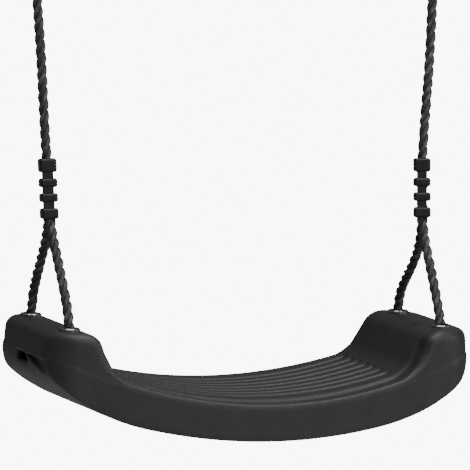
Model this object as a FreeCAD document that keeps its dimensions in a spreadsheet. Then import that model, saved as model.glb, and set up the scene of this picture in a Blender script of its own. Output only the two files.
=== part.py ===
"""Two-rope playground swing: a hollow moulded seat on four rope legs, two ribbed clamps a side,
thimbles, rings and screw hooks. Millimetres, +Z up, origin midway between the hooks where they
enter the beam, -Y is the front of the seat."""
import FreeCAD, Part
import Sketcher
import math
import os

V = FreeCAD.Vector
SIDES = (("left", -1), ("right", 1))
doc = FreeCAD.newDocument("swing")

# ---------------------------------------------------------------- driving dimensions
SIZES = {
    # seat, in its own frame: z = 0 at the lowest point of the underside
    "seat_half_length": 221.5, "seat_depth": 198, "side_bulge": 19.5, "plan_corner": 30,
    "wall_thick": 4, "under_mid_angle": 12, "under_end_bend": 205, "under_tip_bend": 39.6,
    "tip_height": 83, "middle_thick": 39, "top_bend": 490, "block_length": 47, "slope_run": 22.5,
    "block_top": 105.5, "end_draft": 1.4, "foot_bend": 12, "shoulder_bend": 9, "tip_bend": 12,
    "under_edge_round": 6,
    "groove_count": 8, "groove_pitch": 18.8, "groove_width": 7.6, "groove_deep": 2.2,
    "groove_end_gap": 6,
    # rope recess in each end of the seat
    "recess_drop": 20.5, "recess_height": 19, "recess_margin": 12, "recess_clear": 4.75,
    # eyelets and hanging points
    "eyelet_x": 193, "eyelet_spread": 112, "eyelet_clear": 2.2, "eyelet_wall": 1.4,
    "eyelet_flange_wide": 3.3, "eyelet_flange_thick": 2.6, "eyelet_barrel": 9, "eyelet_gap": 0.15,
    "eyelet_edge_round": 1,
    "pivot_height": 1.5, "seat_tilt": 6.2, "seat_drop": 514,
    # rope and its clamps
    "rope_dia": 10, "rope_gap": 0.3, "lean": 3.83,
    "clamp_core_wide": 9, "clamp_core_deep": 23.5, "clamp_side_wall": 3, "clamp_end_wall": 2.4,
    "clamp_low_rib": 10.5, "clamp_mid_rib": 8.6, "clamp_top_rib": 13.6, "clamp_space": 5.8,
    "clamp_rib_round": 2.6, "clamp_tail": 27, "left_clamp_twist": 14, "right_clamp_twist": 20,
    # thimble, ring and hook
    "thimble_seat": 12, "thimble_flange": 4, "thimble_side": 2.2, "thimble_lip": 1.8, "bell_flat": 1,
    "ring_wire": 8, "ring_bend": 22, "hook_wire": 10, "hook_bend": 21, "hook_neck": 10,
    "hook_x": 216, "hook_shank": 6, "stud_length": 60, "stud_dia": 10, "link_gap": 0.3,
    "hook_mouth": 208,
}
sheet = doc.addObject("Spreadsheet::Sheet", "Sizes")
for row, (name, value) in enumerate(SIZES.items(), start=1):
    sheet.set("A%d" % row, name)
    sheet.set("B%d" % row, str(value))
    sheet.setAlias("B%d" % row, name)
doc.recompute()


def size(name):
    """One driving dimension, read from the sheet."""
    return float(sheet.get(name))


# ---------------------------------------------------------------- shared helpers
def finished(label, shape, placement=None):
    """A sub-part whose shape is made by code."""
    part = doc.addObject("Part::Feature", label)
    part.Label = label
    part.Shape = shape
    if placement:
        part.Placement = placement
    return part


def origin_plane(body, role):
    """One of the body's own origin planes or axes."""
    return [item for item in body.Origin.OriginFeatures if item.Role == role][0]


def turned(label, outline):
    """A body turned about its Z axis; outline lists (radius, height) as sheet expressions."""
    body = doc.addObject("PartDesign::Body", label)
    body.Label = label
    sketch = body.newObject("Sketcher::SketchObject", label + "_profile")
    sketch.AttachmentSupport = [(origin_plane(body, "XZ_Plane"), "")]
    sketch.MapMode = "FlatFace"
    corners = []
    for radius, height in outline:
        sheet.set("D1", "=" + radius)
        sheet.set("E1", "=" + height)
        doc.recompute()
        corners.append(V(float(sheet.get("D1")), float(sheet.get("E1")), 0))
    count = len(corners)
    for i in range(count):
        sketch.addGeometry(Part.LineSegment(corners[i], corners[(i + 1) % count]))
    for i in range(count):
        sketch.addConstraint(Sketcher.Constraint("Coincident", i, 2, (i + 1) % count, 1))
    for i, (radius, height) in enumerate(outline):
        for kind, words, place in (("DistanceX", radius, corners[i].x), ("DistanceY", height, corners[i].y)):
            index = sketch.addConstraint(Sketcher.Constraint(kind, -1, 1, i, 1, place))
            sketch.setExpression("Constraints[%d]" % index, bound(words))
    doc.recompute()
    turn = body.newObject("PartDesign::Revolution", label + "_turn")
    turn.Profile = sketch
    turn.ReferenceAxis = (sketch, ["V_Axis"])
    turn.Angle = 360
    return body


def bound(words):
    """The same expression with every size read from the sheet."""
    for name in sorted(SIZES, key=len, reverse=True):
        words = words.replace(name, "@%d@" % list(SIZES).index(name))
    for index, name in enumerate(SIZES):
        words = words.replace("@%d@" % index, "Sizes." + name)
    return words


def arc_points(centre, radius, start, end):
    """An arc in the XZ plane between two angles, in degrees."""
    at = [centre + V(math.cos(math.radians(t)), 0, math.sin(math.radians(t))) * radius
          for t in (start, (start + end) / 2, end)]
    return Part.Arc(*at).toShape()


def rope_path(points, tight=()):
    """Straight runs joined by tangent arcs; at a point in tight, the arc takes the whole half run."""
    points = [V(*p) for p in points]
    edges, radii, last = [], [], points[0]
    for i in range(1, len(points) - 1):
        back, ahead = points[i - 1] - points[i], points[i + 1] - points[i]
        short = min(back.Length, ahead.Length)
        half_turn = (math.pi - back.getAngle(ahead)) / 2
        cut = short * (0.5 if i in tight else 0.45)
        start = points[i] + V(back).normalize() * cut
        end = points[i] + V(ahead).normalize() * cut
        radius = cut / math.tan(half_turn)
        inward = (V(back).normalize() + V(ahead).normalize()).normalize()
        middle = points[i] + inward * (radius / math.cos(half_turn) - radius)
        if (start - last).Length > 1e-4:
            edges.append(Part.LineSegment(last, start).toShape())
        edges.append(Part.Arc(start, middle, end).toShape())
        radii.append(radius)
        last = end
    if (points[-1] - last).Length > 1e-4:
        edges.append(Part.LineSegment(last, points[-1]).toShape())
    return Part.Wire(edges), radii


def tube(points, radius, tight=(), name=None):
    """A round tube along a rope path; with a name, its radii are printed."""
    wire, radii = rope_path(points, tight)
    first = V(*points[1]) - V(*points[0])
    ring = Part.Wire([Part.Circle(V(*points[0]), first, radius).toShape()])
    solid = wire.makePipeShell([ring], True, False)
    expected = math.pi * radius ** 2 * wire.Length
    if abs(solid.Volume - expected) > 0.01 * expected:
        raise RuntimeError("tube volume is off: %s %.1f %.1f" % (name, solid.Volume, expected))
    if name:
        print(name, "length %.0f" % wire.Length, "radii", " ".join("%.0f" % r for r in radii))
    return solid


def round_end(solid, point, radius):
    """The tube with a round end where the rope turns in its eyelet."""
    return solid.fuse(Part.makeSphere(radius, V(*point))).removeSplitter()


# ---------------------------------------------------------------- places worked out from the sizes
seat_place = FreeCAD.Placement(V(0, 0, 0), FreeCAD.Rotation(V(1, 0, 0), size("seat_tilt")))
seat_place.Base = V(0, 0, -size("seat_drop")) - seat_place.Rotation.multVec(V(0, 0, size("block_top")))
rope_r = size("rope_dia") / 2
lean = math.radians(size("lean"))
hook_eye_z = -size("hook_shank") - math.sqrt((size("hook_neck") + size("hook_bend")) ** 2
                                              - size("hook_neck") ** 2)
ring_hang = size("hook_wire") / 2 + size("ring_wire") / 2 + size("link_gap")
ring_low = 2 * size("ring_bend") - ring_hang
thimble_x = size("hook_x") - ring_low * math.sin(lean)
thimble_z = hook_eye_z - size("hook_bend") - ring_low * math.cos(lean)
loop_r = size("thimble_seat") + rope_r + size("rope_gap")
recess_ceiling = size("block_top") - size("recess_drop")


# ---------------------------------------------------------------- seat
def under_side():
    """The underside from its middle to the widest point of the tip: three tangent arcs.
    The middle bend and the second arc's end follow from the tip's place."""
    end_bend, tip = size("under_end_bend"), size("under_tip_bend")
    tip_x = size("seat_half_length") - tip
    one = math.radians(size("under_mid_angle"))
    rise = math.tan(one / 2)
    reach = (tip_x * rise - size("tip_height") + end_bend) / math.hypot(1, rise)
    two = one / 2 + math.acos(reach / (end_bend - tip))
    bend = end_bend + (tip_x - (end_bend - tip) * math.sin(two)) / math.sin(one)
    c1 = V(0, 0, bend)
    c2 = c1 - V(math.sin(one), 0, -math.cos(one)) * (end_bend - bend)
    c3 = V(tip_x, 0, size("tip_height"))
    one, two = math.degrees(one) - 90, math.degrees(two) - 90
    arcs = [arc_points(c1, bend, -90, one), arc_points(c2, end_bend, one, two),
            arc_points(c3, tip, two, 0)]
    return arcs, V(size("seat_half_length"), 0, c3.z)


def rounded(corner, before, after, radius):
    """Tangent arc across one corner of a broken line, and its two ends."""
    back, ahead = V(before - corner).normalize(), V(after - corner).normalize()
    half = back.getAngle(ahead) / 2
    start, end = corner + back * (radius / math.tan(half)), corner + ahead * (radius / math.tan(half))
    middle = corner + V(back + ahead).normalize() * (radius / math.sin(half) - radius)
    return start, middle, end


def seat_face():
    """Closed lengthwise outline: underside, tips, block tops, inner faces and sitting surface."""
    arcs, tip = under_side()
    bend = size("top_bend")
    centre = V(0, 0, size("middle_thick") + bend)
    shoulder = V(tip.x - size("block_length"), 0, size("block_top"))
    foot_x = shoulder.x - size("slope_run")
    foot = V(foot_x, 0, centre.z - math.sqrt(bend ** 2 - foot_x ** 2))
    corner = V(tip.x - size("end_draft"), 0, size("block_top"))
    before_foot = foot + V(foot.z - centre.z, 0, foot_x)
    f0, f1, f2 = rounded(foot, before_foot, shoulder, size("foot_bend"))
    s0, s1, s2 = rounded(shoulder, foot, corner, size("shoulder_bend"))
    t0, t1, t2 = rounded(corner, shoulder, tip, size("tip_bend"))
    rim_end = centre + V(f0 - centre).normalize() * bend
    half = math.asin((rim_end.x - centre.x) / bend) / 2
    halfway = centre + V(math.sin(half), 0, -math.cos(half)) * bend
    right = arcs + [Part.LineSegment(tip, t2).toShape(), Part.Arc(t2, t1, t0).toShape(),
                    Part.LineSegment(t0, s2).toShape(), Part.Arc(s2, s1, s0).toShape(),
                    Part.LineSegment(s0, f2).toShape(), Part.Arc(f2, f1, rim_end).toShape(),
                    Part.Arc(rim_end, halfway, centre - V(0, 0, bend)).toShape()]
    left = [edge.mirror(V(0, 0, 0), V(1, 0, 0)) for edge in right]
    return Part.Face(Part.Wire(Part.__sortEdges__(right + left)))


def plan(inset):
    """Upright block with the seat's plan, bowed along its front and rear, each side set in."""
    spare = 1
    half_x = size("seat_half_length") + spare
    bow = size("seat_depth") / 2
    half_y = bow - size("side_bulge")
    sides = []
    for sign in (-1, 1):
        near, far = V(-sign * half_x, sign * half_y, -spare), V(sign * half_x, sign * half_y, -spare)
        sides.append(Part.Arc(near, V(0, sign * bow, -spare), far).toShape())
        sides.append(Part.LineSegment(far, V(far.x, -far.y, -spare)).toShape())
    outline = Part.Face(Part.Wire(Part.__sortEdges__(sides)))
    block = outline.extrude(V(0, 0, size("block_top") + 2 * spare))
    upright = [e for e in block.Edges if abs(e.tangentAt(e.FirstParameter).z) > 0.99]
    block = block.makeFillet(size("plan_corner"), upright)
    if not inset:
        return block
    foot = [f for f in block.Faces if f.BoundBox.ZMax < -spare + 0.01][0]
    return foot.makeOffset2D(-inset).extrude(V(0, 0, size("block_top") + 2 * spare))


def slab(face, depth):
    """The outline given a depth, centred on the seat's middle."""
    return face.translated(V(0, -depth / 2, 0)).extrude(V(0, depth, 0))


def recess(grow):
    """Rope recess of the +X end, its walls moved out by grow."""
    inner = size("eyelet_x") - rope_r - size("recess_clear") - grow
    half_y = size("eyelet_spread") / 2 + size("recess_margin") + grow
    floor = recess_ceiling - size("recess_height") - grow
    tall = size("recess_height") + 2 * grow
    long = 2 * (size("seat_half_length") - inner)
    return Part.makeBox(long, 2 * half_y, tall, V(inner, -half_y, floor))


def eyelet_spots():
    """Label part and place of each eyelet on the block tops."""
    spots = []
    for side, sx in SIDES:
        for row, sy in (("front", -1), ("rear", 1)):
            place = V(sx * size("eyelet_x"), sy * size("eyelet_spread") / 2, size("block_top"))
            spots.append((side + "_" + row + "_eyelet", place))
    return spots


def round_under_edges(body):
    """The body with its long underside edges and tips rounded, front and rear."""
    side_run = size("seat_depth") - 2 * size("plan_corner")
    tip_z = under_side()[1].z
    edges = []
    for edge in body.Edges:
        box = edge.BoundBox
        if box.YLength < side_run / 2 and box.ZMax < tip_z + 0.5:
            edges.append(edge)
    return body.makeFillet(size("under_edge_round"), edges)


def seat_shell():
    """Hollow shell with a rope recess in each end, a boss round each eyelet and a grooved top."""
    wall, depth, face = size("wall_thick"), size("seat_depth"), seat_face()
    body = round_under_edges(slab(face, depth).common(plan(0)).removeSplitter())
    hollow = slab(face.makeOffset2D(-wall), depth - 2 * wall).common(plan(wall))
    hole_r = rope_r + size("eyelet_clear") + size("eyelet_wall") + size("eyelet_gap")
    boss_tall = 2 * size("recess_drop")
    holes = []
    for label, place in eyelet_spots():
        foot = V(place.x, place.y, recess_ceiling - wall / 2)
        hollow = hollow.cut(Part.makeCylinder(hole_r + wall, boss_tall, foot))
        holes.append(Part.makeCylinder(hole_r, boss_tall, foot))
    outer, inner = recess(wall), recess(0)
    for shape in (outer, outer.mirror(V(0, 0, 0), V(1, 0, 0))):
        hollow = hollow.cut(shape)
    for shape in (inner, inner.mirror(V(0, 0, 0), V(1, 0, 0))):
        holes.append(shape)
    reach = size("seat_half_length") - size("block_length") - size("slope_run") - size("groove_end_gap")
    wide = size("groove_width")
    low = size("middle_thick") - size("groove_deep")
    centre_z = size("middle_thick") + size("top_bend")
    count = int(size("groove_count"))
    for i in range(count):
        y = (i - (count - 1) / 2) * size("groove_pitch") - wide / 2
        disc = Part.makeCylinder(centre_z - low, wide, V(0, y, centre_z), V(0, 1, 0))
        lengthwise = Part.makeBox(2 * reach, wide, size("block_top") - low, V(-reach, y, low))
        holes.append(disc.common(lengthwise))
    return body.cut(hollow).cut(holes).removeSplitter()


finished("seat_shell", seat_shell(), seat_place)

# Eyelets: a flat flange on the block top and a barrel down its hole.
bore = "rope_dia / 2 + eyelet_clear"
flange = bore + " + eyelet_flange_wide"
for label, place in eyelet_spots():
    eyelet = turned(label, [
        (bore, "-eyelet_barrel"),
        (bore + " + eyelet_wall", "-eyelet_barrel"),
        (bore + " + eyelet_wall", "0"),
        (flange, "0"),
        (flange, "eyelet_flange_thick - eyelet_edge_round"),
        (flange + " - eyelet_edge_round", "eyelet_flange_thick"),
        (bore + " + eyelet_edge_round", "eyelet_flange_thick"),
        (bore, "eyelet_flange_thick - eyelet_edge_round")])
    eyelet.Placement = FreeCAD.Placement(seat_place.multVec(place), seat_place.Rotation)

# ---------------------------------------------------------------- ropes
# Each route is a list of (x, y, z): the front leg from its eyelet, through the lower clamp and up to
# the upper clamp, and the rear leg from its eyelet to its end in the lower clamp.
FRONT_ROUTES = {
    "left": [(-193.0, -55.8, -518.6), (-193.2, -52.6, -505), (-193.4, -46.5, -490), (-193.6, -37.5, -474),
             (-193.8, -27.2, -457), (-194.1, -17.6, -441), (-194.5, -9.6, -427), (-194.8, -5.6, -412),
             (-196.0, -5.2, -386), (-196.2, -0.5, -360), (-198.7, 0.4, -320), (-202.4, -0.3, -250)],
    "right": [(193.0, -55.8, -518.6), (193.2, -50.4, -505), (193.4, -42.6, -490), (193.6, -34.6, -475),
              (193.7, -26.3, -460), (193.8, -17.4, -445), (193.9, -9.8, -430), (194.0, -5.5, -414),
              (194.1, -5.1, -386), (195.6, -0.5, -360), (198.7, -0.3, -318), (203.0, 0.4, -274),
              (205.7, 0.2, -228)]}
REAR_ROUTES = {
    "left": [(-193.0, 55.5, -506.5), (-193.2, 51.6, -495), (-193.4, 46.0, -482), (-193.4, 38.0, -469.5),
             (-193.2, 28.3, -457), (-192.9, 18.8, -443.5), (-192.5, 10.6, -429), (-192.3, 5.9, -413),
             (-193.5, 5.2, -386)],
    "right": [(193.0, 55.5, -506.5), (193.3, 53.6, -494.5), (194.0, 47.6, -483), (194.9, 38.2, -473),
              (195.8, 27.2, -463), (196.7, 16.8, -451.5), (197.4, 9.2, -438), (197.8, 5.7, -424),
              (197.9, 5.1, -410), (197.7, 5.2, -386)]}
UPPER_RUN = [(207.5, 0.0, -186), (204.2, 0.0, -160), (205.9, 0.0, -131)]
LOOP_TURNS = 5


def loop_points():
    """Corners of the loop round the thimble, then the tail down into the upper clamp."""
    start = V(*UPPER_RUN[-1])
    centre = V(thimble_x, 0, thimble_z)
    down = V(-math.sin(lean), 0, -math.cos(lean))
    out = V(math.cos(lean), 0, -math.sin(lean))
    side, drop = (start - centre).dot(out), (start - centre).dot(down)
    spread = math.asin(loop_r / math.hypot(side, drop)) - math.atan2(-side, drop)
    step = (math.pi + 2 * spread) / LOOP_TURNS
    corner_r = loop_r / math.cos(step / 2)
    points = []
    for i in range(LOOP_TURNS):
        angle = -spread + (i + 0.5) * step
        points.append(centre - out * (math.cos(angle) * corner_r) - down * (math.sin(angle) * corner_r))
    tail = centre - out * side + down * drop
    return [tuple(p) for p in points] + [tuple(tail), tuple(tail + down * size("clamp_tail"))]


def sided(points, sign):
    return [(sign * x, y, z) for x, y, z in points]


whole_ropes = {side: FRONT_ROUTES[side] + sided(UPPER_RUN + loop_points(), sign) for side, sign in SIDES}
for side, sign in SIDES:
    points, leg_points = whole_ropes[side], REAR_ROUTES[side]
    tight = range(len(points) - LOOP_TURNS - 2, len(points) - 2)
    rope = tube(points, rope_r, tight, side + "_rope")
    leg = tube(leg_points, rope_r, (), side + "_rear_leg")
    finished(side + "_rope", round_end(rope, points[0], rope_r))
    finished(side + "_rear_leg", round_end(leg, leg_points[0], rope_r))


def cross_rope(sign):
    """Rope that crosses the seat's end recess, up into both eyelets, in the seat's own frame."""
    top = size("block_top") + size("pivot_height") - rope_r - size("rope_gap")
    run = recess_ceiling - rope_r - size("rope_gap")
    half = size("eyelet_spread") / 2
    bend = rope_r * 1.3
    x = sign * size("eyelet_x")
    points = [(x, -half, top), (x, -half, run + bend), (x, -half + bend * 0.5, run),
              (x, half - bend * 0.5, run), (x, half, run + bend), (x, half, top)]
    return points


for side, sign in SIDES:
    finished(side + "_cross_rope", tube(cross_rope(sign), rope_r, (), side + "_cross_rope"), seat_place)


# ---------------------------------------------------------------- clamps
CLAMP_RIBS = ("clamp_low_rib", "clamp_mid_rib", "clamp_mid_rib", "clamp_top_rib")
RIB_WIDE = "rope_dia + 2 * rope_gap + 2 * clamp_side_wall"
RIB_DEEP = "2 * rope_dia + 4 * rope_gap + 2 * clamp_end_wall"


def clamp(label, place, channels):
    """A slim core with four ribs round it, and a channel for each rope."""
    pieces = []
    height = 0
    for i, rib_size in enumerate(CLAMP_RIBS):
        rib = doc.addObject("Part::Box", "%s_rib_%d" % (label, i + 1))
        rib.setExpression("Length", bound(RIB_WIDE))
        rib.setExpression("Width", bound(RIB_DEEP))
        rib.setExpression("Height", "Sizes." + rib_size)
        doc.recompute()
        rib.Placement.Base = V(-rib.Length.Value / 2, -rib.Width.Value / 2, height)
        doc.recompute()
        soft = doc.addObject("Part::Fillet", "%s_soft_%d" % (label, i + 1))
        soft.Base = rib
        soft.Edges = [(n + 1, size("clamp_rib_round"), size("clamp_rib_round")) for n in range(12)]
        pieces.append(soft)
        height += size(rib_size) + size("clamp_space")
    core = doc.addObject("Part::Box", label + "_core")
    core.setExpression("Length", "Sizes.clamp_core_wide")
    core.setExpression("Width", "Sizes.clamp_core_deep")
    core.Height = height - size("clamp_space")
    core.Placement.Base = V(-size("clamp_core_wide") / 2, -size("clamp_core_deep") / 2, 0)
    joined = doc.addObject("Part::MultiFuse", label + "_blank")
    joined.Shapes = pieces + [core]
    doc.recompute()
    blank = joined.Shape.copy()
    blank.Placement = place
    for channel in channels:
        blank = blank.cut(channel)
    finished(label, blank)


gap_r = rope_r + size("rope_gap")
UPPER_FOOT = V(207.5, 0, -187)
LOWER_AXES = {"left": (V(-193.6, 0, -413.5), V(-196.1, 0, -355)), "right": (V(195.9, 0, -413.5), V(195.8, 0, -355))}
for side, sign in SIDES:
    points = whole_ropes[side]
    run_end = len(FRONT_ROUTES[side])
    front = tube(points[5:12], gap_r)
    rear = tube(REAR_ROUTES[side][-4:], gap_r)
    low, high = LOWER_AXES[side]
    turn = FreeCAD.Rotation(V(0, 0, 1), high - low) * FreeCAD.Rotation(V(0, 0, 1), -size(side + "_clamp_twist"))
    clamp(side + "_lower_clamp", FreeCAD.Placement(low, turn), [front, rear])
    main = tube(points[run_end - 1:run_end + len(UPPER_RUN) + 1], gap_r)
    tail = tube(points[-3:], gap_r)
    low = V(sign * UPPER_FOOT.x, 0, UPPER_FOOT.z)
    turn = FreeCAD.Rotation(V(0, 1, 0), sign * size("lean")) * FreeCAD.Rotation(V(0, 0, 1), 90)
    clamp(side + "_upper_clamp", FreeCAD.Placement(low, turn), [main, tail])

# ---------------------------------------------------------------- thimbles, rings and hooks
bell = "ring_wire / 2 + link_gap"
thimble_rim = "thimble_seat + thimble_flange"
thimble_half = "rope_dia / 2 + rope_gap + thimble_side"
for side, sign in SIDES:
    thimble = turned(side + "_thimble", [
        (bell + " + thimble_lip", "-(%s)" % thimble_half),
        (thimble_rim, "-(%s)" % thimble_half),
        (thimble_rim, "-rope_dia / 2 - rope_gap"),
        ("thimble_seat", "-rope_dia / 2 - rope_gap"),
        ("thimble_seat", "rope_dia / 2 + rope_gap"),
        (thimble_rim, "rope_dia / 2 + rope_gap"),
        (thimble_rim, thimble_half),
        (bell + " + thimble_lip", thimble_half),
        (bell, "bell_flat / 2"),
        (bell, "-bell_flat / 2")])
    thimble.Placement = FreeCAD.Placement(V(sign * thimble_x, 0, thimble_z),
                                          FreeCAD.Rotation(V(1, 0, 0), 90))
    ring = doc.addObject("Part::Torus", side + "_ring")
    ring.setExpression("Radius1", "Sizes.ring_bend")
    ring.setExpression("Radius2", "Sizes.ring_wire / 2")
    leaned = FreeCAD.Rotation(V(0, 1, 0), sign * size("lean"))
    hang = leaned.multVec(V(0, 0, size("ring_bend") - ring_hang))
    centre = V(sign * size("hook_x"), 0, hook_eye_z - size("hook_bend")) - hang
    ring.Placement = FreeCAD.Placement(centre, leaned * FreeCAD.Rotation(V(0, 1, 0), 90))


def hook(sign):
    """Screw hook: pointed stud, neck and an open round eye, swept as one wire."""
    wire_r, neck, bend = size("hook_wire") / 2, size("hook_neck"), size("hook_bend")
    turn = math.degrees(math.acos(neck / (neck + bend)))
    shank = Part.LineSegment(V(0, 0, 0), V(0, 0, -size("hook_shank"))).toShape()
    neck_arc = arc_points(V(neck, 0, -size("hook_shank")), neck, 180, 180 + turn)
    eye = arc_points(V(0, 0, hook_eye_z), bend, turn, -size("hook_mouth"))
    path = Part.Wire([shank, neck_arc, eye])
    ring = Part.Wire([Part.Circle(V(0, 0, 0), V(0, 0, -1), wire_r).toShape()])
    wire = path.makePipeShell([ring], True, False)
    stud_r, point = size("stud_dia") / 2, size("stud_dia")
    stud = Part.makeCylinder(stud_r, size("stud_length") - point)
    tip = Part.makeCone(stud_r, stud_r / 4, point, V(0, 0, size("stud_length") - point))
    solid = wire.fuse([stud, tip]).removeSplitter()
    if sign < 0:
        solid = solid.mirror(V(0, 0, 0), V(1, 0, 0))
    return solid.translated(V(sign * size("hook_x"), 0, 0))


for side, sign in SIDES:
    finished(side + "_hook", hook(sign))

# ---------------------------------------------------------------- checks and export
NODES = ["seat_shell"] + [label for label, place in eyelet_spots()]
for side in ("left", "right"):
    NODES += [side + "_" + piece for piece in ("rope", "rear_leg", "cross_rope", "lower_clamp",
                                               "upper_clamp", "thimble", "ring", "hook")]
doc.recompute()
for item in doc.Objects:
    if "Invalid" in item.State or "Error" in item.State:
        raise RuntimeError("%s did not recompute: %s" % (item.Label, item.State))
os.makedirs("parts", exist_ok=True)
ready = []
for node in NODES:
    shape = doc.getObjectsByLabel(node)[0].Shape
    if shape.isNull() or not shape.isValid() or not shape.Solids:
        raise RuntimeError(node + " has no valid solid")
    ready.append((node, shape))
for node, shape in ready:
    shape.exportStep("parts/%s.step" % node)
    print(node, "solids", len(shape.Solids), "volume %.0f" % shape.Volume)
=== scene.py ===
import math
import bpy
import numpy as np
from mathutils import Matrix, Vector


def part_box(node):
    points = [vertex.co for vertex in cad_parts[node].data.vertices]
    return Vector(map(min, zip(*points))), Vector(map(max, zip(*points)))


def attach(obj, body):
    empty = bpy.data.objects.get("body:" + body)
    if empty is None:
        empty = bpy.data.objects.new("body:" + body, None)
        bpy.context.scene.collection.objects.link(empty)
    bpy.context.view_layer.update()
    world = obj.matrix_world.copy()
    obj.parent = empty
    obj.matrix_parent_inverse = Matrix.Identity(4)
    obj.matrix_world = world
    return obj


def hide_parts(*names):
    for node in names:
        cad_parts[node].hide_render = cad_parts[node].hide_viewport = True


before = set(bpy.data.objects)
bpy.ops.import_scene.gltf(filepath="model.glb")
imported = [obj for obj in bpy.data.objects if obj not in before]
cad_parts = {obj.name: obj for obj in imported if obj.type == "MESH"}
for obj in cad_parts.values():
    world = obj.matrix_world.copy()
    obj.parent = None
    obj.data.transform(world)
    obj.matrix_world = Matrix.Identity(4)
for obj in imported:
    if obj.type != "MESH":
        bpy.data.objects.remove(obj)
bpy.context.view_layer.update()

# ---------------------------------------------------------------- camera
# The swing is looked at from its front left, almost level with the seat, from far enough away that
# the seat is drawn nearly without perspective.
CAMERA_DISTANCE, CAMERA_TURN, CAMERA_RISE = 7.3, math.radians(21), math.radians(2.2)
SEEN_LOW = Vector((0, 0, -0.622))
AIM = Vector((-0.0014, 0, -0.4299))
forward = Vector((math.sin(CAMERA_TURN) * math.cos(CAMERA_RISE),
                  math.cos(CAMERA_TURN) * math.cos(CAMERA_RISE), -math.sin(CAMERA_RISE)))
camera_data = bpy.data.cameras.new("camera")
camera_data.lens, camera_data.sensor_width = 572.5, 36
camera_data.clip_end = 100
camera = bpy.data.objects.new("camera", camera_data)
camera.location = SEEN_LOW - forward * CAMERA_DISTANCE
camera.rotation_euler = (AIM - camera.location).to_track_quat("-Z", "Y").to_euler()
bpy.context.scene.collection.objects.link(camera)
bpy.context.scene.camera = camera

# ---------------------------------------------------------------- ropes
# A black three-strand laid polypropylene rope, 10 mm thick, hangs each side: it comes up from the
# front eyelet, through both clamps and round the thimble. A short rear leg ends in the lower clamp,
# and a short length crosses under each end block from eyelet to eyelet.
FRONT_LEGS = {
    "left": [(-.1930, -.0558, -.5186), (-.1932, -.0526, -.505), (-.1934, -.0465, -.490),
             (-.1936, -.0375, -.474), (-.1938, -.0272, -.457), (-.1941, -.0176, -.441),
             (-.1945, -.0096, -.427), (-.1948, -.0056, -.412), (-.1960, -.0052, -.386),
             (-.1962, -.0005, -.360), (-.1987, .0004, -.320), (-.2024, -.0003, -.250)],
    "right": [(.1930, -.0558, -.5186), (.1932, -.0504, -.505), (.1934, -.0426, -.490),
              (.1936, -.0346, -.475), (.1937, -.0263, -.460), (.1938, -.0174, -.445),
              (.1939, -.0098, -.430), (.1940, -.0055, -.414), (.1941, -.0051, -.386),
              (.1956, -.0005, -.360), (.1987, -.0003, -.318), (.2030, .0004, -.274),
              (.2057, .0002, -.228)]}
REAR_LEGS = {
    "left": [(-.1930, .0555, -.5065), (-.1932, .0516, -.495), (-.1934, .0460, -.482),
             (-.1934, .0380, -.4695), (-.1932, .0283, -.457), (-.1929, .0188, -.4435),
             (-.1925, .0106, -.429), (-.1923, .0059, -.413), (-.1935, .0052, -.386)],
    "right": [(.1930, .0555, -.5065), (.1933, .0536, -.4945), (.1940, .0476, -.483),
              (.1949, .0382, -.473), (.1958, .0272, -.463), (.1967, .0168, -.4515),
              (.1974, .0092, -.438), (.1978, .0057, -.424), (.1979, .0051, -.410),
              (.1977, .0052, -.386)]}
UPPER_RUN = [(.2075, 0, -.186), (.2042, 0, -.160), (.2059, 0, -.131)]
LOOP_TURNS, LOOP_RADIUS, TAIL, LEAN = 5, .0173, .027, math.radians(3.83)
SIDES = (("left", -1), ("right", 1))


def middle(node):
    """The middle of a CAD node's box."""
    low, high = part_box(node)
    return (low + high) / 2


def loop_route(sign):
    """Corners of the loop round the thimble, then the tail down into the upper clamp."""
    centre = middle("right_thimble")
    down = Vector((-math.sin(LEAN), 0, -math.cos(LEAN)))
    out = Vector((math.cos(LEAN), 0, -math.sin(LEAN)))
    start = Vector(UPPER_RUN[-1])
    side, drop = (start - centre).dot(out), (start - centre).dot(down)
    spread = math.asin(LOOP_RADIUS / math.hypot(side, drop)) - math.atan2(-side, drop)
    step = (math.pi + 2 * spread) / LOOP_TURNS
    corner = LOOP_RADIUS / math.cos(step / 2)
    turns = [-spread + (i + 0.5) * step for i in range(LOOP_TURNS)]
    points = [centre - out * (math.cos(t) * corner) - down * (math.sin(t) * corner) for t in turns]
    tail = centre - out * side + down * drop
    route = [Vector(p) for p in UPPER_RUN] + points + [tail, tail + down * TAIL]
    return [(sign * p.x, p.y, p.z) for p in route]


def smooth_line(name, route):
    """Points along the smooth curve that a rope's route controls, evenly spaced."""
    curve = bpy.data.curves.new(name + "_line", "CURVE")
    curve.dimensions = "3D"
    curve.resolution_u = 24
    spline = curve.splines.new("NURBS")
    spline.points.add(len(route) - 1)
    for point, place in zip(spline.points, route):
        point.co = (*place, 1)
    spline.order_u = 3
    spline.use_endpoint_u = True
    holder = bpy.data.objects.new(name + "_line", curve)
    bpy.context.scene.collection.objects.link(holder)
    bpy.context.view_layer.update()
    line = bpy.data.meshes.new_from_object(holder.evaluated_get(bpy.context.evaluated_depsgraph_get()))
    points = np.array([v.co for v in line.vertices], float)
    bpy.data.objects.remove(holder)
    bpy.data.meshes.remove(line)
    run = np.concatenate([[0], np.cumsum(np.linalg.norm(np.diff(points, axis=0), axis=1))])
    keep = np.concatenate([[True], np.diff(run) > 1e-7])
    steps = np.linspace(0, run[-1], int(run[-1] / ROPE_STEP) + 1)
    return np.stack([np.interp(steps, run[keep], points[keep][:, i]) for i in range(3)], 1)


ROPE_STEP = 0.0009
AROUND = 54
STRAND, STRAND_OUT = 0.00284, 0.00230
YARNS, YARN_DEEP, YARN_TURNS = 7, 0.00011, 1.6
UNEVEN_TURN, UNEVEN_SIZE = 0.22, 0.016


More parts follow.
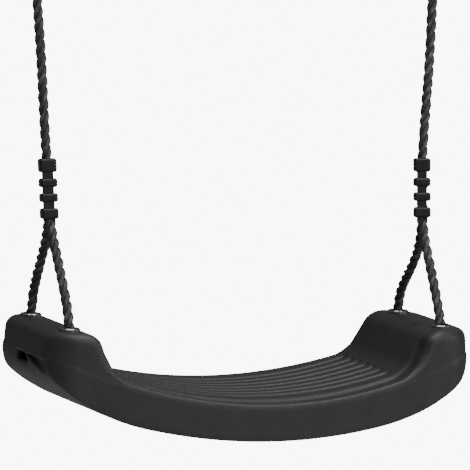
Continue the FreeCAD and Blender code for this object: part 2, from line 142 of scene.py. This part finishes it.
def strand_section(turn):
    """Distance from the rope's middle and depth below its rim, at angles from a strand's crown."""
    off = np.abs((turn + math.pi / 3) % (2 * math.pi / 3) - math.pi / 3)
    reach = STRAND_OUT * np.cos(off)
    height = reach + np.sqrt(np.maximum(STRAND ** 2 - (STRAND_OUT * np.sin(off)) ** 2, 0))
    return height, 1 - (height - height.min()) / (height.max() - height.min())


def laid_rope(name, path, lay, start_turn, seed):
    """A closed mesh of three laid strands along a path; the lay varies a little along the rope."""
    wobble = np.random.default_rng(seed)
    count = len(path)
    ahead = np.gradient(path, axis=0)
    ahead /= np.linalg.norm(ahead, axis=1)[:, None]
    side = np.cross(ahead[0], (0, 1, 0.01))
    sides = []
    for direction in ahead:
        side = side - direction * side.dot(direction)
        side /= np.linalg.norm(side)
        sides.append(side)
    sides = np.array(sides)
    other = np.cross(ahead, sides)
    run = np.concatenate([[0], np.cumsum(np.linalg.norm(np.diff(path, axis=0), axis=1))])
    knots = np.arange(0, run[-1] + lay, lay / 2)
    uneven = np.interp(run, knots, wobble.normal(0, UNEVEN_TURN, len(knots)))
    swell = np.interp(run, knots, wobble.normal(0, UNEVEN_SIZE, len(knots)))
    twist = start_turn + 2 * math.pi * run / lay + uneven
    angle = np.linspace(0, 2 * math.pi, AROUND, endpoint=False)
    local = angle[None, :] - twist[:, None]
    height, depth = strand_section(local)
    strand_turn = (local + math.pi / 3) % (2 * math.pi / 3) - math.pi / 3
    yarn = YARNS * strand_turn * 1.5 + run[:, None] / lay * 2 * math.pi * YARN_TURNS
    height = height * (1 + swell[:, None]) + YARN_DEEP * np.cos(yarn) * (1 - depth)
    ring = (path[:, None, :] + sides[:, None, :] * (np.cos(angle) * height)[..., None]
            + other[:, None, :] * (np.sin(angle) * height)[..., None])
    corners = np.concatenate([ring.reshape(-1, 3), path[:1], path[-1:]])
    faces = []
    for i in range(count - 1):
        a, b = i * AROUND, (i + 1) * AROUND
        faces += [(a + j, a + (j + 1) % AROUND, b + (j + 1) % AROUND, b + j) for j in range(AROUND)]
    first, last = count * AROUND, count * AROUND + 1
    end = (count - 1) * AROUND
    faces += [(first, (j + 1) % AROUND, j) for j in range(AROUND)]
    faces += [(last, end + j, end + (j + 1) % AROUND) for j in range(AROUND)]
    mesh = bpy.data.meshes.new(name)
    mesh.from_pydata([tuple(p) for p in corners], [], faces)
    mesh.shade_smooth()
    values = {"hollow": np.append(depth.ravel(), [0, 0]),
              "along": np.append(np.repeat(run, AROUND), [0, run[-1]]),
              "yarn": np.append(yarn.ravel(), [0, 0]),
              "strand": np.append(np.floor((local + math.pi / 3) / (2 * math.pi / 3)).ravel(), [0, 0])}
    for key, value in values.items():
        layer = mesh.attributes.new(key, "FLOAT", "POINT")
        layer.data.foreach_set("value", value.astype(np.float32))
    rope = bpy.data.objects.new(name, mesh)
    bpy.context.scene.collection.objects.link(rope)
    return rope


def shader(name):
    """A new material with its nodes, its shader and a way to link them."""
    material = bpy.data.materials.new(name)
    material.use_nodes = True
    return material, material.node_tree.nodes, material.node_tree.links


def node(nodes, kind, inputs=None, **settings):
    """One shader node with its settings and the values of its inputs."""
    made = nodes.new("ShaderNode" + kind)
    for key, value in settings.items():
        setattr(made, key, value)
    for key, value in (inputs or {}).items():
        made.inputs[key].default_value = value
    return made


rope_finish, nodes, links = shader("rope_fibre")
bsdf = nodes["Principled BSDF"]
hollow = node(nodes, "Attribute", attribute_name="hollow")
yarn = node(nodes, "Attribute", attribute_name="yarn")
along = node(nodes, "Attribute", attribute_name="along")
strand = node(nodes, "Attribute", attribute_name="strand")
place = node(nodes, "TexCoord")
pair = node(nodes, "CombineXYZ")
links.new(yarn.outputs["Fac"], pair.inputs[0])
stretch = node(nodes, "Math", {1: 90.0}, operation="MULTIPLY")
links.new(along.outputs["Fac"], stretch.inputs[0])
links.new(stretch.outputs[0], pair.inputs[1])
links.new(strand.outputs["Fac"], pair.inputs[2])
fibre = node(nodes, "TexNoise", {"Scale": 3.2, "Detail": 5.0, "Roughness": 0.7})
links.new(pair.outputs[0], fibre.inputs["Vector"])
patch = node(nodes, "TexNoise", {"Scale": 130.0, "Detail": 2.0})
links.new(place.outputs["Object"], patch.inputs["Vector"])
worn = node(nodes, "MapRange", {"From Min": 0.48, "From Max": 0.72})
links.new(patch.outputs["Fac"], worn.inputs["Value"])
crown = node(nodes, "MapRange", {"From Min": 0.75, "From Max": 0.1})
links.new(hollow.outputs["Fac"], crown.inputs["Value"])
light = node(nodes, "Math", operation="MULTIPLY")
links.new(worn.outputs[0], light.inputs[0])
links.new(crown.outputs[0], light.inputs[1])
fibres = node(nodes, "ValToRGB")
for stop, at, colour in zip(fibres.color_ramp.elements, (.3, .75), ((.010, .0105), (.052, .054))):
    stop.position, stop.color = at, (colour[0], colour[0], colour[1], 1)
links.new(fibre.outputs["Fac"], fibres.inputs["Fac"])
faded = node(nodes, "Mix", {"B": (.12, .12, .125, 1)}, data_type="RGBA")
links.new(light.outputs[0], faded.inputs["Factor"])
links.new(fibres.outputs["Color"], faded.inputs["A"])
# Painted shade: the hollows between the strands are darkened towards near black, the deeper the darker,
# where shade falls between them.
painted_hollow_shade = node(nodes, "Mix", {"B": (.004, .004, .004, 1)}, data_type="RGBA")
shade = node(nodes, "MapRange", {"From Min": 0.55, "From Max": 1.0})
links.new(hollow.outputs["Fac"], shade.inputs["Value"])
links.new(shade.outputs[0], painted_hollow_shade.inputs["Factor"])
links.new(faded.outputs["Result"], painted_hollow_shade.inputs["A"])
links.new(painted_hollow_shade.outputs["Result"], bsdf.inputs["Base Color"])
bump = node(nodes, "Bump", {"Strength": 0.5, "Distance": 0.0004})
links.new(fibre.outputs["Fac"], bump.inputs["Height"])
links.new(bump.outputs["Normal"], bsdf.inputs["Normal"])
bsdf.inputs["Roughness"].default_value = 0.58

LAY_LENGTHS = {"rope": 0.034, "rear_leg": 0.026, "cross_rope": 0.030}
for number, (side, sign) in enumerate(SIDES):
    line = smooth_line(side + "_rope", FRONT_LEGS[side] + loop_route(sign))
    rope = laid_rope(side + "_laid_rope", line, LAY_LENGTHS["rope"], 0.4, 11 + number)
    rope.data.materials.append(rope_finish)
    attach(rope, side + "_line")
    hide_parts(side + "_rope")
    line = smooth_line(side + "_leg", REAR_LEGS[side])
    leg = laid_rope(side + "_laid_rear_leg", line, LAY_LENGTHS["rear_leg"], 1.1, 21 + number)
    leg.data.materials.append(rope_finish)
    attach(leg, side + "_line")
    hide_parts(side + "_rear_leg")

# ---------------------------------------------------------------- seat
# One hollow blow-moulded shell of black polyethylene: a curved, grooved sitting surface between two
# end blocks, with a rope recess in each end. The two mould halves meet along the faint line on its
# sides and at the ledge across its ends. All its sizes are in millimetres, in the seat's own frame.
SEAT_HALF, SEAT_DEPTH, SIDE_BULGE, CORNER_ROUND = 221.5, 198, 19.5, 30
TOP_BEND, TOP_LOW, FOOT, SHOULDER, BLOCK_TOP = 490, 39, 150.5, 172.8, 105.5
UNDER_BENDS, UNDER_TURNS = (590, 205), (math.radians(12), math.radians(38))
BLOCK_ROUND, FOOT_ROUND = 11, 9
EDGE_ROUND, EDGE_ROUND_MORE = 2.6, 7.5
UNDER_ROUND, UNDER_ROUND_LESS, UNDER_LIFT = 5, 2.8, 0.15
STEP_DROP, STEP_BACK, STEP_FRONT, STEP_FADE = 3.6, 27, 20, (84, 102)
LIP_RISE, LIP_BACK, LIP_FRONT = 1.6, 12, 8
MOULD_LINE, MOULD_DROP, MOULD_STEP, LEDGE_STEP, LEDGE_ROUND, UPPER_LEAN = 81, 6.5, 0.35, 0.35, 0.6, 0.07
GROOVES, GROOVE_FIRST, GROOVE_PITCH = 7, -48.25, 19.3
GROOVE_WIDE, GROOVE_DEEP, GROOVE_REACH, GROOVE_END_ROUND = 8.0, 1.9, 145, 3
CAVITY, CAVITY_HALF, CAVITY_ROUND = (197, 0, 75), (13.5, 68, 9), 3
HOLE, HOLE_HALF, HOLE_ROUND = (222, 6, 73.2), (22, 15.5, 4.4), 3.2
SCOOP, SCOOP_HALF, SCOOP_SCALE, SCOOP_SOFT = (224, 7, 70), (7, 21, 9), 6, 3
WINDOW, WINDOW_HALF, WINDOW_ROUND = (224, -34.5, 69.5), (8.2, 25.5, 8.2), 2
SILL_TOP, SILL_FROM, SILL_SLOPE = 77.5, -10, 0.32
EYELET_X, EYELET_Y, EYELET_HOLE, EYELET_FLOOR, FLANGE_TOP = 193, 56, 8.75, 80, 2.6
CELL = np.array([2.6, 1.35, 1.7])


def seat_turn():
    """The seat's forward tilt, from its front and rear eyelets, and the middle of its block tops."""
    rise = middle("left_rear_eyelet") - middle("left_front_eyelet")
    tilt = math.atan2(rise.z, rise.y)
    tops = []
    for eyelet in ("left_front_eyelet", "left_rear_eyelet"):
        points = np.array([v.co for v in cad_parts[eyelet].data.vertices], float)
        ahead = points[:, 1] * math.cos(tilt) + points[:, 2] * math.sin(tilt)
        up = points[:, 2] * math.cos(tilt) - points[:, 1] * math.sin(tilt)
        tops.append(((ahead.min() + ahead.max()) / 2, up.max() - FLANGE_TOP / 1000))
    return tilt, np.mean(tops, axis=0)


TILT, (TOP_AHEAD, TOP_UP) = seat_turn()


def placed(points):
    """Seat points in millimetres, turned and moved to where the seat hangs, in metres."""
    points = np.asarray(points, float) / 1000
    ahead, up = points[:, 1] + TOP_AHEAD, points[:, 2] - BLOCK_TOP / 1000 + TOP_UP
    return np.stack([points[:, 0], ahead * math.cos(TILT) - up * math.sin(TILT),
                     ahead * math.sin(TILT) + up * math.cos(TILT)], 1)


def both(a, b, soft):
    """Inside both of two shapes, the edge between them rounded."""
    return (np.minimum(np.maximum(a, b), -soft)
            + np.sqrt(np.maximum(a + soft, 0) ** 2 + np.maximum(b + soft, 0) ** 2))


def either(a, b, soft):
    """Inside either of two shapes, the corner between them filled round."""
    return -both(-a, -b, soft)


def less(a, b, soft):
    """Inside the first shape and outside the second, the edge rounded."""
    return both(a, -b, soft)


def eased(value, low, high):
    """From 0 at low to 1 at high, smoothly."""
    t = np.clip((value - low) / (high - low), 0, 1)
    return t * t * (3 - 2 * t)


def rounded_box(spread, half, corner):
    """Distance to a box of the given half sizes with rounded corners, from its middle."""
    over = [np.abs(s) - (h - corner) for s, h in zip(spread, half)]
    outside = np.sqrt(sum(np.maximum(o, 0) ** 2 for o in over))
    return outside + np.minimum(np.maximum.reduce(over), 0) - corner


def under_side(x, z):
    """Distance below the underside: three tangent arcs out to the tip, then the upright end."""
    (b1, b2), (t1, t2) = UNDER_BENDS, UNDER_TURNS
    c2x, c2z = math.sin(t1) * (b1 - b2), b1 - math.cos(t1) * (b1 - b2)
    p2x, p2z = c2x + math.sin(t2) * b2, c2z - math.cos(t2) * b2
    b3 = (SEAT_HALF - p2x) / (1 - math.sin(t2))
    c3x, c3z = p2x - math.sin(t2) * b3, p2z + math.cos(t2) * b3
    first = np.hypot(x, z - b1) - b1
    second = np.hypot(x - c2x, z - c2z) - b2
    third = np.where(z > c3z, x - SEAT_HALF, np.hypot(x - c3x, z - c3z) - b3)
    in_first = x * math.cos(t1) < (b1 - z) * math.sin(t1)
    in_second = (x - c2x) * math.cos(t2) < (c2z - z) * math.sin(t2)
    return np.where(in_first, first, np.where(in_second, second, third))


def top_side(x, z):
    """Distance above the sitting surface and the end blocks."""
    centre = TOP_LOW + TOP_BEND
    dip = TOP_BEND - np.hypot(x, z - centre)
    foot_z = centre - math.sqrt(TOP_BEND ** 2 - FOOT ** 2)
    run, rise = SHOULDER - FOOT, BLOCK_TOP - foot_z
    size = math.hypot(run, rise)
    face = (-(x - FOOT) * rise + (z - foot_z) * run) / size
    block = both(face, z - BLOCK_TOP, BLOCK_ROUND)
    return either(dip, block, FOOT_ROUND)


def box_at(point, centre, half, corner):
    """Distance to a rounded box whose middle is at centre."""
    return rounded_box([p - c for p, c in zip(point, centre)], half, corner)


def recess(x, y, z):
    """Distances to the cavity in an end block, its rope hole, the scoop round it and the window."""
    cavity = box_at((x, y, z), CAVITY, CAVITY_HALF, CAVITY_ROUND)
    hole = box_at((x, y, z), HOLE, HOLE_HALF, HOLE_ROUND)
    scoop = np.sqrt(sum(((p - c) / h) ** 2 for p, c, h in zip((x, y, z), SCOOP, SCOOP_HALF))) - 1
    sill = (SILL_TOP + (y - SILL_FROM) * SILL_SLOPE - z) * math.cos(math.atan(SILL_SLOPE))
    window = both(box_at((x, y, z), WINDOW, WINDOW_HALF, WINDOW_ROUND), sill, 1)
    return cavity, hole, scoop * SCOOP_SCALE, window


def seat_distance(x, y, z):
    """Distance outside the whole seat shell."""
    x = np.abs(x)
    bulge = SIDE_BULGE * (1 - (x / (SEAT_HALF + 1)) ** 2)
    front = SEAT_DEPTH / 2 - SIDE_BULGE + bulge
    at_block = eased(x, 135, 176)
    at_end = eased(x, 185, 215)
    step = STEP_DROP * eased(-y, front - STEP_BACK, front - STEP_FRONT)
    lip = LIP_RISE * eased(-y, front - LIP_BACK, front - LIP_FRONT)
    top = top_side(x, z) + (step - lip) * (1 - eased(z, *STEP_FADE))
    mould = np.minimum(TOP_LOW + TOP_BEND - MOULD_DROP
                       - np.sqrt(np.maximum(TOP_BEND ** 2 - x ** 2, 0)), MOULD_LINE)
    above = eased(z - mould, -0.5, 0.9) * (MOULD_STEP + LEDGE_STEP * at_end)
    ledge = eased(z - mould, -5, 0) * at_end * LEDGE_ROUND
    inset = above + ledge + np.maximum(z - mould, 0) * UPPER_LEAN * at_end
    outward = np.sign(y) * np.maximum(np.abs(y) - bulge, 0)
    plan = rounded_box((x, outward), (SEAT_HALF + 0.3, SEAT_DEPTH / 2 - SIDE_BULGE), CORNER_ROUND)
    shell = both(top, plan + inset, EDGE_ROUND + EDGE_ROUND_MORE * at_block)
    shell = both(shell, under_side(x, z) + UNDER_LIFT, UNDER_ROUND - UNDER_ROUND_LESS * at_block)
    for i in range(GROOVES):
        along = (x, y - GROOVE_FIRST - i * GROOVE_PITCH)
        across = rounded_box(along, (GROOVE_REACH, GROOVE_WIDE / 2), GROOVE_END_ROUND)
        shell = less(shell, both(across, -(top + GROOVE_DEEP), 0.6), 0.9)
    cavity, hole, scoop, window = recess(x, y, z)
    shell = less(shell, scoop, SCOOP_SOFT)
    shell = less(shell, window, 0.7)
    shell = less(shell, cavity, 1)
    shell = less(shell, hole, 1.1)
    for row in (-1, 1):
        bore = np.hypot(x - EYELET_X, y - row * EYELET_Y) - EYELET_HOLE
        shell = less(shell, np.maximum(bore, EYELET_FLOOR - z), 0.6)
    return shell


def skinned(distance, low, high, cell):
    """A closed mesh of four-sided faces over the places where distance is nought."""
    count = np.ceil((np.array(high) - low) / cell).astype(int) + 1
    axes = [low[i] + cell[i] * np.arange(count[i]) for i in range(3)]
    field = distance(*np.meshgrid(*axes, indexing="ij"))
    inside = field < 0
    shape = count - 1
    corners = [(i, j, k) for i in (0, 1) for j in (0, 1) for k in (0, 1)]

    def corner(values, at):
        return values[tuple(slice(a, a + s) for a, s in zip(at, shape))]

    filled = sum(corner(inside, at).astype(int) for at in corners)
    cells = np.argwhere((filled > 0) & (filled < 8))
    index = -np.ones(shape, int)
    index[tuple(cells.T)] = np.arange(len(cells))
    total, hits = np.zeros((len(cells), 3)), np.zeros(len(cells))
    for a in corners:
        for axis in range(3):
            if a[axis]:
                continue
            b = tuple(v + (i == axis) for i, v in enumerate(a))
            da, db = field[tuple((cells + a).T)], field[tuple((cells + b).T)]
            crossed = (da < 0) != (db < 0)
            share = np.where(crossed, da / np.where(crossed, da - db, 1), 0)
            at = cells + a + share[:, None] * (np.arange(3) == axis)
            total += np.where(crossed[:, None], at, 0)
            hits += crossed
    points = low + cell * total / hits[:, None]
    home = low + cell * (cells + 0.5)
    for _ in range(4):
        d = distance(*points.T)
        slope = np.stack([(distance(*(points + np.eye(3)[i] * 0.05).T) - d) / 0.05 for i in range(3)], 1)
        move = -slope * (d / np.maximum((slope ** 2).sum(1), 0.2))[:, None]
        points = np.clip(points + np.clip(move, -0.6, 0.6), home - cell * 0.62, home + cell * 0.62)
    faces = []
    for axis in range(3):
        u, v = (axis + 1) % 3, (axis + 2) % 3
        low_side = [slice(1, -1)] * 3
        low_side[axis] = slice(0, -1)
        high_side = list(low_side)
        high_side[axis] = slice(1, None)
        a, b = inside[tuple(low_side)], inside[tuple(high_side)]
        for mask, flip in ((a & ~b, False), (~a & b, True)):
            at = np.argwhere(mask)
            at += [0 if i == axis else 1 for i in range(3)]
            quad = []
            for du, dv in ((0, 0), (-1, 0), (-1, -1), (0, -1)):
                shifted = at.copy()
                shifted[:, u] += du
                shifted[:, v] += dv
                quad.append(index[tuple(shifted.T)])
            quad = np.stack(quad[::-1] if not flip else quad, 1)
            faces.append(quad[:, ::-1])
    return points, np.concatenate(faces)


def shown(name, points, faces):
    """A smooth-shaded object from points and faces, added to the scene."""
    mesh = bpy.data.meshes.new(name)
    mesh.from_pydata([tuple(p) for p in points], [], [tuple(int(i) for i in f) for f in faces])
    mesh.validate()
    mesh.shade_smooth()
    made = bpy.data.objects.new(name, mesh)
    bpy.context.scene.collection.objects.link(made)
    return made


MARGIN = 4
seat_high = np.array([SEAT_HALF, SEAT_DEPTH / 2, BLOCK_TOP]) + MARGIN
seat_low = np.array([-seat_high[0], -seat_high[1], -MARGIN])
seat_points, seat_faces = skinned(seat_distance, seat_low, seat_high, CELL)
seat = shown("seat", placed(seat_points), seat_faces)


RUB_REACH, RUB_FULL = 3.0, 0.55


def rubbed(points):
    """How much each point stands out on an edge: 0 on flats and in hollows, 1 on a sharp edge."""
    steps = [np.eye(3)[i] * s for i in range(3) for s in (-RUB_REACH, RUB_REACH)]
    beside = sum(seat_distance(*(points + step).T) for step in steps)
    return np.clip(beside / len(steps) / RUB_FULL, 0, 1)


layer = seat.data.attributes.new("edge", "FLOAT", "POINT")
layer.data.foreach_set("value", rubbed(seat_points).astype(np.float32))


def used_surface():
    """The shader group of a handled surface: fine grain, slow mottling and thin scuffs."""
    group = bpy.data.node_groups.new("used_surface", "ShaderNodeTree")
    group.interface.new_socket("Vector", in_out="INPUT", socket_type="NodeSocketVector")
    for name in ("Grain Scale", "Mottle Scale", "Scuff Scale", "Scuff Level"):
        group.interface.new_socket(name, in_out="INPUT", socket_type="NodeSocketFloat")
    for name in ("Grain", "Mottle", "Scuff"):
        group.interface.new_socket(name, in_out="OUTPUT", socket_type="NodeSocketFloat")
    nodes, links = group.nodes, group.links
    given, out = nodes.new("NodeGroupInput"), nodes.new("NodeGroupOutput")
    grain = node(nodes, "TexNoise", {"Detail": 4.0, "Roughness": 0.6})
    mottle = node(nodes, "TexNoise", {"Detail": 5.0, "Roughness": 0.62})
    drag = node(nodes, "Mapping", {"Scale": (.09, 1.0, .8), "Rotation": (.2, .35, .5)})
    scuff = node(nodes, "TexNoise", {"Detail": 6.0, "Roughness": 0.75})
    where = node(nodes, "TexNoise", {"Detail": 2.0})
    for texture, size in ((grain, "Grain Scale"), (mottle, "Mottle Scale"), (scuff, "Scuff Scale"),
                          (where, "Mottle Scale")):
        links.new(given.outputs[size], texture.inputs["Scale"])
    for texture in (grain, mottle, where, drag):
        links.new(given.outputs["Vector"], texture.inputs["Vector"])
    links.new(drag.outputs["Vector"], scuff.inputs["Vector"])
    line = node(nodes, "MapRange", {"From Max": 0.8})
    links.new(scuff.outputs["Fac"], line.inputs["Value"])
    links.new(given.outputs["Scuff Level"], line.inputs["From Min"])
    spot = node(nodes, "MapRange", {"From Min": 0.45, "From Max": 0.65})
    links.new(where.outputs["Fac"], spot.inputs["Value"])
    marks = node(nodes, "Math", operation="MULTIPLY")
    links.new(line.outputs[0], marks.inputs[0])
    links.new(spot.outputs[0], marks.inputs[1])
    links.new(grain.outputs["Fac"], out.inputs["Grain"])
    links.new(mottle.outputs["Fac"], out.inputs["Mottle"])
    links.new(marks.outputs[0], out.inputs["Scuff"])
    return group


SURFACE = used_surface()


def used_finish(name, dark, pale, roughness, grain_deep, sizes, edge=None):
    """A material whose colour, gloss and grain follow the used surface. Sizes fill the group's
    inputs in turn; edge names the attribute that rubbed edges are read from."""
    material, nodes, links = shader(name)
    bsdf = nodes["Principled BSDF"]
    place = node(nodes, "TexCoord")
    surface = nodes.new("ShaderNodeGroup")
    surface.node_tree = SURFACE
    links.new(place.outputs["Object"], surface.inputs["Vector"])
    for number, value in enumerate(sizes):
        surface.inputs[number + 1].default_value = value
    tone = node(nodes, "Mix", {"A": (*dark, 1), "B": (*pale, 1)}, data_type="RGBA")
    mottled = node(nodes, "MapRange", {"From Min": 0.3, "From Max": 0.7, "To Max": 0.45})
    links.new(surface.outputs["Mottle"], mottled.inputs["Value"])
    marked = node(nodes, "Math", operation="ADD", use_clamp=True)
    links.new(mottled.outputs[0], marked.inputs[0])
    links.new(surface.outputs["Scuff"], marked.inputs[1])
    worn = marked
    if edge:
        rub = node(nodes, "Attribute", attribute_name=edge)
        rubbing = node(nodes, "Math", operation="MULTIPLY")
        links.new(rub.outputs["Fac"], rubbing.inputs[0])
        links.new(surface.outputs["Mottle"], rubbing.inputs[1])
        worn = node(nodes, "Math", operation="ADD", use_clamp=True)
        links.new(marked.outputs[0], worn.inputs[0])
        links.new(rubbing.outputs[0], worn.inputs[1])
    links.new(worn.outputs[0], tone.inputs["Factor"])
    links.new(tone.outputs["Result"], bsdf.inputs["Base Color"])
    gloss = node(nodes, "MapRange", {"From Min": 0.3, "From Max": 0.7,
                                     "To Min": roughness - .05, "To Max": roughness + .05})
    links.new(surface.outputs["Mottle"], gloss.inputs["Value"])
    links.new(gloss.outputs[0], bsdf.inputs["Roughness"])
    bump = node(nodes, "Bump", {"Strength": grain_deep, "Distance": 0.0003})
    links.new(surface.outputs["Grain"], bump.inputs["Height"])
    links.new(bump.outputs["Normal"], bsdf.inputs["Normal"])
    return material


seat_finish = used_finish("moulded_polyethylene", (.019, .019, .0195), (.036, .036, .0365), .50, .16,
                          (1500, 45, 160, .60), "edge")
seat.data.materials.append(seat_finish)
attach(seat, "seat")
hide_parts("seat_shell")

# ---------------------------------------------------------------- cross ropes
# A short length of the same rope lies across each end block's recess, from eyelet to eyelet, and
# turns up into both of them, so that the block hangs on the rope.
HALF_ACROSS = [(1, 101.7), (1, 88), (.97, 79.7), (.5, 79.4)]
ACROSS = [(-s, z) for s, z in HALF_ACROSS] + [(0, 79.0)] + HALF_ACROSS[::-1]
for number, (side, sign) in enumerate(SIDES):
    across = [(sign * EYELET_X, s * EYELET_Y, z) for s, z in ACROSS]
    line = smooth_line(side + "_cross", [tuple(p) for p in placed(across)])
    rope = laid_rope(side + "_laid_cross_rope", line, LAY_LENGTHS["cross_rope"], 0.2, 31 + number)
    rope.data.materials.append(rope_finish)
    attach(rope, "seat")
    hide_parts(side + "_cross_rope")

# ---------------------------------------------------------------- clamps, thimbles and metal
# The ribbed clamps and the thimbles are injection-moulded black plastic. The flanged eyelets, the
# rings and the screw hooks are steel, zinc plated, with the grey spangle and dulled scratches it gets.
clamp_finish = used_finish("clamp_plastic", (.0035, .0035, .0037), (.010, .010, .0103), .48, .12,
                           (2200, 120, 300, .62))
thimble_finish = used_finish("thimble_plastic", (.010, .010, .0102), (.024, .024, .0245), .44, .10,
                             (2200, 120, 260, .58))
zinc_finish = used_finish("zinc_plate", (.16, .163, .17), (.55, .56, .58), .27, .08,
                          (900, 260, 420, .56))
zinc_finish.node_tree.nodes["Principled BSDF"].inputs["Metallic"].default_value = 1
FINISHES = {"clamp": clamp_finish, "thimble": thimble_finish, "eyelet": zinc_finish,
            "ring": zinc_finish, "hook": zinc_finish}
for name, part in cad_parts.items():
    kind = name.split("_")[-1]
    if kind in FINISHES:
        part.data.materials.clear()
        part.data.materials.append(FINISHES[kind])

# ---------------------------------------------------------------- screw threads
# The zinc-plated hooks are screwed into the beam by a rolled wood thread, which stands a little
# proud of each stud and stops short of its point.
THREAD_TURNS, THREAD_PITCH, THREAD_RADIUS, THREAD_RIDGE, THREAD_START = 9, .0043, .0046, .0010, .007


def thread_tree():
    """Geometry nodes that run a three-cornered ridge along a screw line."""
    tree = bpy.data.node_groups.new("wood_thread", "GeometryNodeTree")
    for name in ("Turns", "Pitch", "Radius", "Ridge"):
        tree.interface.new_socket(name, in_out="INPUT", socket_type="NodeSocketFloat")
    tree.interface.new_socket("Geometry", in_out="OUTPUT", socket_type="NodeSocketGeometry")
    nodes, links = tree.nodes, tree.links
    given, out = nodes.new("NodeGroupInput"), nodes.new("NodeGroupOutput")
    rise = nodes.new("ShaderNodeMath")
    rise.operation = "MULTIPLY"
    links.new(given.outputs["Turns"], rise.inputs[0])
    links.new(given.outputs["Pitch"], rise.inputs[1])
    line = nodes.new("GeometryNodeCurveSpiral")
    line.inputs["Resolution"].default_value = 40
    links.new(given.outputs["Turns"], line.inputs["Rotations"])
    links.new(given.outputs["Radius"], line.inputs["Start Radius"])
    links.new(given.outputs["Radius"], line.inputs["End Radius"])
    links.new(rise.outputs[0], line.inputs["Height"])
    ridge = nodes.new("GeometryNodeCurvePrimitiveCircle")
    ridge.inputs["Resolution"].default_value = 3
    links.new(given.outputs["Ridge"], ridge.inputs["Radius"])
    body = nodes.new("GeometryNodeCurveToMesh")
    body.inputs["Fill Caps"].default_value = True
    links.new(line.outputs["Curve"], body.inputs["Curve"])
    links.new(ridge.outputs["Curve"], body.inputs["Profile Curve"])
    whole = nodes.new("GeometryNodeRealizeInstances")
    links.new(body.outputs["Mesh"], whole.inputs["Geometry"])
    coated = nodes.new("GeometryNodeSetMaterial")
    coated.inputs["Material"].default_value = zinc_finish
    links.new(whole.outputs["Geometry"], coated.inputs["Geometry"])
    links.new(coated.outputs["Geometry"], out.inputs["Geometry"])
    return tree


THREAD = thread_tree()
for side, sign in SIDES:
    thread = bpy.data.objects.new(side + "_hook_thread", bpy.data.meshes.new("thread"))
    bpy.context.scene.collection.objects.link(thread)
    maker = thread.modifiers.new("maker", "NODES")
    maker.node_group = THREAD
    wanted = {"Turns": THREAD_TURNS, "Pitch": THREAD_PITCH, "Radius": THREAD_RADIUS, "Ridge": THREAD_RIDGE}
    for socket in THREAD.interface.items_tree:
        if socket.name in wanted:
            maker[socket.identifier] = float(wanted[socket.name])
    made = bpy.context.evaluated_depsgraph_get()
    mesh = bpy.data.meshes.new_from_object(thread.evaluated_get(made), depsgraph=made)
    thread.modifiers.remove(maker)
    mesh.transform(Matrix.Translation((middle(side + "_hook").x, 0, THREAD_START)))
    thread.data = mesh
    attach(thread, "hangers")

# ---------------------------------------------------------------- studio
# A pale floor well below the seat, a plain white surround, and large soft lights.
floor_mesh = bpy.data.meshes.new("floor")
floor_mesh.from_pydata([(-6, -6, -1.3), (6, -6, -1.3), (6, 6, -1.3), (-6, 6, -1.3)], [], [(0, 1, 2, 3)])
floor = bpy.data.objects.new("floor", floor_mesh)
bpy.context.scene.collection.objects.link(floor)
floor_finish, nodes, links = shader("pale_floor")
nodes["Principled BSDF"].inputs["Base Color"].default_value = (.62, .62, .62, 1)
nodes["Principled BSDF"].inputs["Roughness"].default_value = 0.9
nodes["Principled BSDF"].inputs["Emission Color"].default_value = (1, 1, 1, 1)
seen_directly = node(nodes, "LightPath")
pale = node(nodes, "MapRange", {"To Max": 2.6})
links.new(seen_directly.outputs["Is Camera Ray"], pale.inputs["Value"])
links.new(pale.outputs[0], nodes["Principled BSDF"].inputs["Emission Strength"])
floor_mesh.materials.append(floor_finish)
world = bpy.data.worlds.new("surround")
bpy.context.scene.world = world
world.use_nodes = True
nodes, links = world.node_tree.nodes, world.node_tree.links
background = nodes["Background"]
background.inputs["Color"].default_value = (1, 1, 1, 1)
path = node(nodes, "LightPath")
strength = node(nodes, "MapRange", {"To Min": 1.0, "To Max": 9.0})
links.new(path.outputs["Is Camera Ray"], strength.inputs["Value"])
links.new(strength.outputs[0], background.inputs["Strength"])
direction = node(nodes, "TexCoord")
height = node(nodes, "SeparateXYZ")
links.new(direction.outputs["Generated"], height.inputs[0])
level = node(nodes, "MapRange", {"From Min": -1.0, "From Max": 1.0})
links.new(height.outputs["Z"], level.inputs["Value"])
glow = node(nodes, "ValToRGB")
ramp = glow.color_ramp
ramp.elements[0].position, ramp.elements[0].color = 0.0, (.06, .06, .06, 1)
ramp.elements[1].position, ramp.elements[1].color = 1.0, (.25, .25, .25, 1)
for at, value in ((.38, .02), (.46, .12), (.495, .32), (.52, .10), (.7, .12)):
    ramp.elements.new(at).color = (value, value, value, 1)
links.new(level.outputs[0], glow.inputs["Fac"])
seen = node(nodes, "Mix", {"B": (1, 1, 1, 1)}, data_type="RGBA")
links.new(path.outputs["Is Camera Ray"], seen.inputs["Factor"])
links.new(glow.outputs["Color"], seen.inputs["A"])
links.new(seen.outputs["Result"], background.inputs["Color"])
LIGHTS = {"overhead": ((0.1, -1.1, 2.1), 74, 2.4), "front": ((1.2, -4.6, 1.0), 56, 2.4),
          "right": ((3.2, -1.6, 0.2), 22, 1.6)}
for name, (where, power, wide) in LIGHTS.items():
    lamp = bpy.data.lights.new(name, "AREA")
    lamp.energy, lamp.size = power, wide
    holder = bpy.data.objects.new(name, lamp)
    holder.location = where
    holder.rotation_euler = (Vector((0, 0, -0.55)) - Vector(where)).to_track_quat("-Z", "Y").to_euler()
    bpy.context.scene.collection.objects.link(holder)
